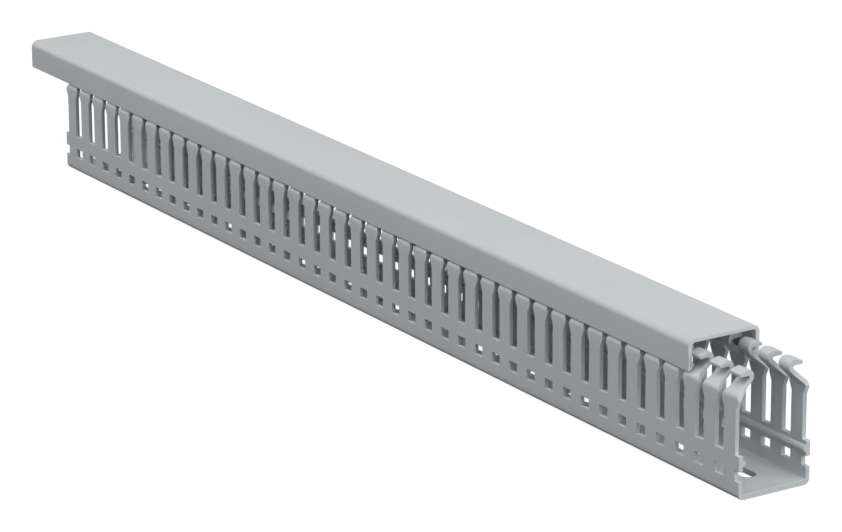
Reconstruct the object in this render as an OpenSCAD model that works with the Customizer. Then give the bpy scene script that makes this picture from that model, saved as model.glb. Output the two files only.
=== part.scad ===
/* [Channel] */

// Length of the channel, cut through the middle of a slot at both ends
channel_length = 378; // [180:9:720]

// Outside width across the two side walls
channel_width = 24; // [22:1:60]

// Thickness of the side walls and fingers
wall_thickness = 1.35; // [1.1:0.05:1.5]

// Thickness of the base
base_thickness = 1.6; // [1.2:0.1:2]

// Outer radius of the two long bottom corners
bottom_corner_radius = 1.8; // [1.6:0.1:3]

// Inner radius of the two long bottom corners
bottom_inner_radius = 0.5; // [0.3:0.1:1.2]

/* [Fingers] */

// Distance from one slot to the next
slot_pitch = 9; // [8.5:0.25:12]

// Width of the straight part of a slot
slot_width = 3.8; // [3:0.1:4.2]

// Height of the square slot bottom above the underside
slot_bottom_height = 12.65; // [11.75:0.15:15]

// Height at which the fingers start to grow wider
slot_taper_height = 25.4; // [23:0.2:26]

// Height at which the fingers lean in
lean_start_height = 28.2; // [27.8:0.1:32]

// Gap left between two fingers at their widest place
waist_gap = 1.7; // [1.2:0.1:2.4]

// Gap between two finger heads
head_gap = 4.3; // [3.8:0.1:4.6]

// Height over which a slot widens from the waist to the heads
waist_rise = 2.7; // [2.2:0.1:3.2]

// Angle by which the upper part of a finger leans in
lean_angle = 47; // [42:1:50]

// Length of the leaning part of a finger
lean_length = 5.3; // [4.8:0.05:6]

// Outer radius of the shoulder where a finger leans in
shoulder_radius = 2; // [1.6:0.1:2.4]

// Radius of the groove under the hook of a finger
groove_radius = 0.5; // [0.4:0.05:0.6]

// Reach of the hook tip beyond the groove
hook_reach = 3.2; // [2.8:0.05:3.3]

// Thickness of the hook at its tip
hook_tip_thickness = 1.1; // [0.8:0.05:1.2]

// Radius of the two edges of the hook tip
hook_tip_radius = 0.3; // [0.2:0.05:0.35]

/* [Side holes and rib] */

// Width of the small hole under each slot
side_hole_width = 3.9; // [3:0.1:4.4]

// Height of the small hole under each slot
side_hole_height = 3; // [2:0.05:3.2]

// Height of the middle of the small holes
side_hole_level = 6.75; // [5.75:0.05:7]

// Height of the middle of the long inner rib
rib_level = 10.4; // [10:0.1:10.6]

// Radius of the long inner rib
rib_radius = 1; // [0.6:0.1:1.1]

/* [Base slots] */

// Distance between neighbouring base slots
base_slot_spacing = 25; // [20:1:40]

// Length of the wide base slots
wide_slot_length = 14.6; // [10:0.2:16]

// Width of the wide base slots
wide_slot_width = 6.8; // [5.5:0.1:7.5]

// Length of the narrow base slots
narrow_slot_length = 9; // [8:0.2:14]

// Width of the narrow base slots
narrow_slot_width = 4.7; // [3.5:0.1:5.5]

/* [Cover] */

// Length of the cover
cover_length = 378; // [180:9:720]

// Distance the cover stands off the middle of the channel
cover_offset = -23.4; // [-60:0.6:60]

// Thickness of the cover
cover_thickness = 1.25; // [1:0.05:1.4]

// Outer radius of the two long top corners
cover_corner_radius = 2.2; // [1.8:0.1:2.6]

// Free height between the finger heads and the cover
cover_headroom = 2.05; // [1.5:0.05:3]

// Depth of the snap lip inside each cover flange
lip_depth = 0.9; // [0.7:0.05:1]

// Height of the snap lip at its root
lip_height = 2.1; // [1.9:0.1:2.3]

// Play between cover and channel
cover_play = 0.25; // [0.2:0.01:0.3]

/* [Hidden] */

fine = 64;
overcut = 1;
plastic = [0.76, 0.78, 0.79];
half_width = channel_width / 2;
inner_half_width = half_width - wall_thickness;

shoulder_centre = [half_width - shoulder_radius, lean_start_height];
outward = [cos(lean_angle), sin(lean_angle)];
upward = [-sin(lean_angle), cos(lean_angle)];
lean_foot = shoulder_centre + shoulder_radius * outward;
lean_end = lean_foot + lean_length * upward;
groove_centre = lean_end + groove_radius * outward;
neck_outer = groove_centre[0] - groove_radius;
hook_under = groove_centre[1] + groove_radius;
hook_end = neck_outer + hook_reach;
tip_low_centre = [hook_end - hook_tip_radius, hook_under + hook_tip_radius];
tip_high_centre = [tip_low_centre[0], hook_under + hook_tip_thickness - hook_tip_radius];
crown_rise = 0.25;
crown_radius = groove_radius + wall_thickness + crown_rise * sin(lean_angle);
crown_centre = groove_centre + [0, crown_rise];
crown_to_tip = tip_high_centre - crown_centre;
slope_turn = atan2(crown_to_tip[1], crown_to_tip[0])
    + acos((crown_radius - hook_tip_radius) / norm(crown_to_tip));
head_top = crown_centre[1] + crown_radius;

slot_steps = floor(channel_length / slot_pitch / 2 + 0.5);
waist_low = lean_start_height - 0.5;
waist_high = lean_start_height;
head_low = waist_high + waist_rise;

wide_steps = floor((channel_length / 2 - wide_slot_length) / (2 * base_slot_spacing));
narrow_steps = floor((channel_length / 2 + base_slot_spacing - narrow_slot_length)
    / (2 * base_slot_spacing));

flange_inner = half_width - cover_thickness;
cover_ceiling = head_top + cover_headroom;
cover_top = cover_ceiling + cover_thickness;
lean_slope = cos(lean_angle) / sin(lean_angle);
play_rise = cover_play / sin(lean_angle);
flange_chamfer = 0.55;
flange_foot = lean_foot[1] + (lean_foot[0] - flange_inner - flange_chamfer) * lean_slope + play_rise;
lip_foot = lean_foot[1] + (lean_foot[0] - flange_inner) * lean_slope + play_rise;
lip_inner = flange_inner - lip_depth;
lip_inner_foot = lean_foot[1] + (lean_foot[0] - lip_inner) * lean_slope + play_rise;
lip_top = lip_foot + lip_height;
lip_nose = 0.5;

// Points along an arc, both ends included
function arc(centre, radius, from, to, steps) = [
    for (i = [0 : steps])
        let (turn = from + (to - from) * i / steps)
            centre + radius * [cos(turn), sin(turn)]
];

// Outline of one side wall with its hooked finger, from the outer foot round to the inner foot
wall_outline = concat(
    [[half_width, bottom_corner_radius]],
    arc(shoulder_centre, shoulder_radius, 0, lean_angle, 5),
    arc(groove_centre, groove_radius, 180 + lean_angle, 90, 6),
    arc(tip_low_centre, hook_tip_radius, -90, 0, 3),
    arc(tip_high_centre, hook_tip_radius, 0, slope_turn, 3),
    arc(crown_centre, crown_radius, slope_turn, 180 + lean_angle, 11),
    arc(shoulder_centre, shoulder_radius - wall_thickness, lean_angle, 0, 2),
    [[inner_half_width, bottom_corner_radius]]
);

// One side wall with its finger seen from the end
module wall_section() {
    polygon(wall_outline);
    translate([inner_half_width, rib_level])
        intersection() {
            circle(r = rib_radius, $fn = fine);
            translate([-rib_radius, -rib_radius])
                square([rib_radius + wall_thickness / 2, 2 * rib_radius]);
        }
}

// Rounded trough of the channel seen from the end
module trough_section() {
    rise = bottom_corner_radius;
    difference() {
        union() {
            translate([-half_width, rise]) square([channel_width, rise]);
            translate([rise - half_width, 0]) square([channel_width - 2 * rise, 2 * rise]);
            for (side = [-1, 1])
                translate([side * (half_width - rise), rise]) circle(r = rise, $fn = fine);
        }
        translate([-inner_half_width, base_thickness + bottom_inner_radius])
            square([2 * inner_half_width, 3 * rise]);
        translate([bottom_inner_radius - inner_half_width, base_thickness])
            square([2 * (inner_half_width - bottom_inner_radius), 3 * rise]);
        for (side = [-1, 1])
            translate([side * (inner_half_width - bottom_inner_radius), base_thickness + bottom_inner_radius])
                circle(r = bottom_inner_radius, $fn = fine);
    }
}

// Whole channel seen from the end before it is punched
module channel_section() {
    trough_section();
    wall_section();
    mirror([1, 0]) wall_section();
}

// Outline of one punched slot seen from the side
module slot_outline() {
    polygon([
        [-slot_width / 2, slot_bottom_height],
        [slot_width / 2, slot_bottom_height],
        [slot_width / 2, slot_taper_height],
        [waist_gap / 2, waist_low],
        [waist_gap / 2, waist_high],
        [head_gap / 2, head_low],
        [head_gap / 2, head_top + overcut],
        [-head_gap / 2, head_top + overcut],
        [-head_gap / 2, head_low],
        [-waist_gap / 2, waist_high],
        [-waist_gap / 2, waist_low],
        [-slot_width / 2, slot_taper_height]
    ]);
}

// Slots and small side holes punched across both walls
module side_punches() {
    rotate([90, 0, 0])
        linear_extrude(height = channel_width + 2 * overcut, center = true)
            for (step = [-slot_steps : slot_steps])
                translate([step * slot_pitch, 0]) {
                    slot_outline();
                    translate([-side_hole_width / 2, side_hole_level - side_hole_height / 2])
                        square([side_hole_width, side_hole_height]);
                }
}

// Long hole with round ends, lying along the channel
module long_hole(hole_length, hole_width) {
    straight = hole_length - hole_width;
    translate([0, 0, -overcut])
        linear_extrude(height = base_thickness + 2 * overcut)
            union() {
                translate([-straight / 2, -hole_width / 2]) square([straight, hole_width]);
                for (side = [-1, 1])
                    translate([side * straight / 2, 0]) circle(d = hole_width, $fn = fine);
            }
}

// Wide and narrow fixing slots that alternate along the base
module base_punches() {
    for (step = [-wide_steps : wide_steps])
        translate([2 * step * base_slot_spacing, 0, 0])
            long_hole(wide_slot_length, wide_slot_width);
    for (step = [1 : narrow_steps])
        for (side = [-1, 1])
            translate([side * (2 * step - 1) * base_slot_spacing, 0, 0])
                long_hole(narrow_slot_length, narrow_slot_width);
}

// Slotted channel with hooked fingers
module channel() {
    color(plastic)
        difference() {
            rotate([90, 0, 90])
                linear_extrude(height = channel_length, center = true)
                    channel_section();
            side_punches();
            base_punches();
        }
}

// Outline of the right half of the cover, from the ceiling round the flange to the top
cover_flat_half = half_width - cover_corner_radius;
cover_corner = [cover_flat_half, cover_top - cover_corner_radius];
cover_outline = concat(
    arc(cover_corner, cover_corner_radius - cover_thickness, 90, 0, 4),
    [
        [flange_inner, lip_top],
        [lip_inner, lip_inner_foot + lip_nose],
        [lip_inner, lip_inner_foot],
        [flange_inner + flange_chamfer, flange_foot],
        [half_width, flange_foot]
    ],
    arc(cover_corner, cover_corner_radius, 0, 90, 9)
);

// Cover seen from the end, the left half mirrored from the right one
module cover_section() {
    last = len(cover_outline) - 1;
    polygon(concat(
        cover_outline,
        [for (i = [0 : last]) [-cover_outline[last - i][0], cover_outline[last - i][1]]]
    ));
}

// Clip-on cover, slid along the channel
module cover() {
    color(plastic)
        translate([cover_offset, 0, 0])
            rotate([90, 0, 90])
                linear_extrude(height = cover_length, center = true)
                    cover_section();
}

channel();
cover();
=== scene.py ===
from math import cos, radians, sin

import bmesh
import bpy
from mathutils import Euler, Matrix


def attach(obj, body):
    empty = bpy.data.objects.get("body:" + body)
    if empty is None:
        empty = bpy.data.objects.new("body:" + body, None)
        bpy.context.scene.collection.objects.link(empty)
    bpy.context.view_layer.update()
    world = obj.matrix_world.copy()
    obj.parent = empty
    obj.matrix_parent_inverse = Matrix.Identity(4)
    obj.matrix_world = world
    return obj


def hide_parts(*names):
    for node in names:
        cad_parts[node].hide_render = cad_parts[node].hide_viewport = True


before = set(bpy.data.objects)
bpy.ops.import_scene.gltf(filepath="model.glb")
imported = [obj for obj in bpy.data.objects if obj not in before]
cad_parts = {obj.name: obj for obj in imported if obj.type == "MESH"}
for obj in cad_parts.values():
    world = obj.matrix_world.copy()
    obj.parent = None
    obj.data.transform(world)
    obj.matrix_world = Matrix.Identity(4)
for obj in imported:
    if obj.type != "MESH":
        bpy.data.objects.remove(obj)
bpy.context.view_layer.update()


# Channel: one length of extruded light grey PVC, with slots, side holes and base slots punched
# out afterwards. The die leaves faint lines along it, the matt skin has a very fine grain, and
# the cut edges are a little eased, apart from those of the base slots.

PVC_COLOUR = (0.56, 0.59, 0.61)
PVC_SPECULAR = 0.35
PVC_ROUGHNESS = 0.52
ROUGHNESS_SPREAD = 0.05
CLOUD_SCALE = 22
CLOUD_DETAIL = 2
CLOUD_RANGE = (0.3, 0.7)
CLOUD_SHADES = (0.975, 1.02)
DIE_LINE_STRETCH = (1.2, 900, 900)
DIE_LINE_SCALE = 1
DIE_LINE_DETAIL = 3
DIE_LINE_RANGE = (0.35, 0.65)
DIE_LINE_STRENGTH = 0.08
DIE_LINE_HEIGHT = 0.00003
GRAIN_SCALE = 5200
GRAIN_DETAIL = 1
GRAIN_STRENGTH = 0.1
GRAIN_HEIGHT = 0.00002


def extruded_pvc(name, line_shift):
    material = bpy.data.materials.new(name)
    material.use_nodes = True
    nodes, links = material.node_tree.nodes, material.node_tree.links
    shader = nodes["Principled BSDF"]
    shader.inputs["Specular IOR Level"].default_value = PVC_SPECULAR
    place = nodes.new("ShaderNodeTexCoord").outputs["Object"]

    def noise(at, scale, detail):
        pattern = nodes.new("ShaderNodeTexNoise")
        pattern.inputs["Scale"].default_value = scale
        pattern.inputs["Detail"].default_value = detail
        links.new(at, pattern.inputs["Vector"])
        return pattern.outputs["Fac"]

    def spread(value, source, target):
        scaled = nodes.new("ShaderNodeMapRange")
        scaled.inputs["From Min"].default_value = source[0]
        scaled.inputs["From Max"].default_value = source[1]
        scaled.inputs["To Min"].default_value = target[0]
        scaled.inputs["To Max"].default_value = target[1]
        links.new(value, scaled.inputs["Value"])
        return scaled.outputs["Result"]

    def bump(height, strength, distance):
        relief = nodes.new("ShaderNodeBump")
        relief.inputs["Strength"].default_value = strength
        relief.inputs["Distance"].default_value = distance
        links.new(height, relief.inputs["Height"])
        return relief

    along = nodes.new("ShaderNodeMapping")
    along.inputs["Location"].default_value = (0, line_shift, 0)
    along.inputs["Scale"].default_value = DIE_LINE_STRETCH
    links.new(place, along.inputs["Vector"])
    die_lines = noise(along.outputs["Vector"], DIE_LINE_SCALE, DIE_LINE_DETAIL)
    clouds = noise(place, CLOUD_SCALE, CLOUD_DETAIL)
    grain = noise(place, GRAIN_SCALE, GRAIN_DETAIL)

    colour = nodes.new("ShaderNodeVectorMath")
    colour.operation = "SCALE"
    colour.inputs[0].default_value = PVC_COLOUR
    links.new(spread(clouds, CLOUD_RANGE, CLOUD_SHADES), colour.inputs["Scale"])
    links.new(colour.outputs["Vector"], shader.inputs["Base Color"])

    gloss = (PVC_ROUGHNESS - ROUGHNESS_SPREAD, PVC_ROUGHNESS + ROUGHNESS_SPREAD)
    links.new(spread(die_lines, DIE_LINE_RANGE, gloss), shader.inputs["Roughness"])

    line_relief = bump(die_lines, DIE_LINE_STRENGTH, DIE_LINE_HEIGHT)
    grain_relief = bump(grain, GRAIN_STRENGTH, GRAIN_HEIGHT)
    links.new(line_relief.outputs["Normal"], grain_relief.inputs["Normal"])
    links.new(grain_relief.outputs["Normal"], shader.inputs["Normal"])
    return material


SAME_POINT = 0.000001
SAME_PLANE = radians(0.5)
SHARP = radians(30)
EDGE_EASE = 0.00012
EDGE_STEPS = 2
BASE_SLOT_ZONE = (0.188, 0.005, 0.002)


def in_base_slot_zone(edge):
    middle = (edge.verts[0].co + edge.verts[1].co) / 2
    return all(abs(at) < limit for at, limit in zip(middle, BASE_SLOT_ZONE))


def eased_copy(node, body, name, material):
    work = bmesh.new()
    work.from_mesh(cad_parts[node].data)
    bmesh.ops.remove_doubles(work, verts=work.verts, dist=SAME_POINT)
    bmesh.ops.dissolve_limit(work, angle_limit=SAME_PLANE, verts=work.verts, edges=work.edges)
    ease_share = work.edges.layers.float.new("bevel_weight_edge")
    for face in work.faces:
        face.smooth = True
    for edge in work.edges:
        sharp = edge.calc_face_angle() > SHARP
        edge.smooth = not sharp
        edge[ease_share] = 1.0 if sharp and not in_base_slot_zone(edge) else 0.0
    mesh = bpy.data.meshes.new(name)
    work.to_mesh(mesh)
    work.free()

    piece = bpy.data.objects.new(name, mesh)
    bpy.context.scene.collection.objects.link(piece)
    ease = piece.modifiers.new("eased_edges", "BEVEL")
    ease.width = EDGE_EASE
    ease.segments = EDGE_STEPS
    ease.limit_method = "WEIGHT"
    ease.use_clamp_overlap = False
    ease.harden_normals = True
    piece.data = bpy.data.meshes.new_from_object(
        piece.evaluated_get(bpy.context.evaluated_depsgraph_get()))
    piece.modifiers.clear()
    piece.data.materials.clear()
    piece.data.materials.append(material)
    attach(piece, body)
    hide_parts(node)


eased_copy("channel", "trough", "punched_channel", extruded_pvc("channel_pvc", 0))


# Cover: a second extruded profile of the same PVC. Its lips snap over the finger heads, and it
# is pushed along, so that the channel's near end is open.

COVER_LINE_SHIFT = 3.7

eased_copy("cover", "lid", "clip_cover", extruded_pvc("cover_pvc", COVER_LINE_SHIFT))


# Floor: a wide grey table on which the duct lies. The camera sees it as white paper with a weak
# shadow of the duct.

FLOOR_HALF = 6.0
FLOOR_GREY = 0.1
PAPER_WHITE = 1.06
SHADOW_SHARE = 0.16

floor_mesh = bpy.data.meshes.new("floor")
floor_mesh.from_pydata(
    [(-FLOOR_HALF, -FLOOR_HALF, 0), (FLOOR_HALF, -FLOOR_HALF, 0),
     (FLOOR_HALF, FLOOR_HALF, 0), (-FLOOR_HALF, FLOOR_HALF, 0)],
    [], [(0, 1, 2, 3)])
floor = bpy.data.objects.new("floor", floor_mesh)
bpy.context.scene.collection.objects.link(floor)

paper = bpy.data.materials.new("white_paper")
paper.use_nodes = True
nodes, links = paper.node_tree.nodes, paper.node_tree.links
nodes.clear()
matt = nodes.new("ShaderNodeBsdfDiffuse")
matt.inputs["Color"].default_value = (FLOOR_GREY, FLOOR_GREY, FLOOR_GREY, 1)
white = nodes.new("ShaderNodeEmission")
white.inputs["Strength"].default_value = PAPER_WHITE
shadowed = nodes.new("ShaderNodeBsdfDiffuse")
shadowed.inputs["Color"].default_value = (1, 1, 1, 1)
seen = nodes.new("ShaderNodeMixShader")
seen.inputs["Fac"].default_value = SHADOW_SHARE
links.new(white.outputs[0], seen.inputs[1])
links.new(shadowed.outputs[0], seen.inputs[2])
rays = nodes.new("ShaderNodeLightPath")
direct = nodes.new("ShaderNodeMath")
direct.operation = "MAXIMUM"
links.new(rays.outputs["Is Camera Ray"], direct.inputs[0])
links.new(rays.outputs["Is Transmission Ray"], direct.inputs[1])
choose = nodes.new("ShaderNodeMixShader")
links.new(direct.outputs[0], choose.inputs["Fac"])
links.new(matt.outputs[0], choose.inputs[1])
links.new(seen.outputs[0], choose.inputs[2])
surface = nodes.new("ShaderNodeOutputMaterial")
links.new(choose.outputs[0], surface.inputs["Surface"])
floor_mesh.materials.append(paper)


# Light: soft boxes round the open near end and the slotted long side, two weaker ones behind
# the duct and a dim room, so that the inside of the duct stays dark.

LAMP_DISTANCE = 4.0
ROOM_STRENGTH = 0.04
BACKDROP_WHITE = 1.0


def soft_box(name, turn, height, size, watts):
    lamp = bpy.data.lights.new(name, "AREA")
    lamp.size = size
    lamp.energy = watts
    box = bpy.data.objects.new(name, lamp)
    reach = LAMP_DISTANCE * cos(radians(height))
    box.location = (
        reach * cos(radians(turn)),
        reach * sin(radians(turn)),
        LAMP_DISTANCE * sin(radians(height)))
    box.rotation_euler = (-box.location).to_track_quat("-Z", "Y").to_euler()
    bpy.context.scene.collection.objects.link(box)


soft_box("end_box_low", turn=0, height=12, size=2.4, watts=80)
soft_box("end_box_high", turn=-12, height=62, size=2.4, watts=64)
soft_box("side_box_low", turn=-140, height=30, size=1.8, watts=58)
soft_box("side_box_high", turn=-135, height=55, size=1.8, watts=44)
soft_box("front_box", turn=-90, height=8, size=1.8, watts=16)
soft_box("back_box", turn=45, height=30, size=1.8, watts=46)
soft_box("far_box", turn=120, height=25, size=2.4, watts=22)

world = bpy.data.worlds.new("room")
bpy.context.scene.world = world
world.use_nodes = True
nodes, links = world.node_tree.nodes, world.node_tree.links
nodes.clear()
room = nodes.new("ShaderNodeBackground")
room.inputs["Color"].default_value = (1, 1, 1, 1)
room.inputs["Strength"].default_value = ROOM_STRENGTH
backdrop = nodes.new("ShaderNodeBackground")
backdrop.inputs["Color"].default_value = (1, 1, 1, 1)
backdrop.inputs["Strength"].default_value = BACKDROP_WHITE
rays = nodes.new("ShaderNodeLightPath")
choose = nodes.new("ShaderNodeMixShader")
links.new(rays.outputs["Is Camera Ray"], choose.inputs["Fac"])
links.new(room.outputs[0], choose.inputs[1])
links.new(backdrop.outputs[0], choose.inputs[2])
room_out = nodes.new("ShaderNodeOutputWorld")
links.new(choose.outputs[0], room_out.inputs["Surface"])


# Camera: a long lens in front of the open near end, a little above the duct, looking down its
# length, as the photograph does.

LENS_LENGTH = 182.563
SENSOR_WIDTH = 36
CAMERA_PLACE = (1.04358, -0.66264, 0.41202)
CAMERA_TURN = (radians(72.1296), radians(0.2597), radians(57.1611))
NEAREST_SEEN = 0.05
FARTHEST_SEEN = 40

lens = bpy.data.cameras.new("camera")
lens.sensor_width = SENSOR_WIDTH
lens.lens = LENS_LENGTH
lens.clip_start = NEAREST_SEEN
lens.clip_end = FARTHEST_SEEN
camera = bpy.data.objects.new("camera", lens)
camera.location = CAMERA_PLACE
camera.rotation_euler = Euler(CAMERA_TURN, "XYZ")
bpy.context.scene.collection.objects.link(camera)
bpy.context.scene.camera = camera
bpy.context.scene.view_settings.view_transform = "Standard"
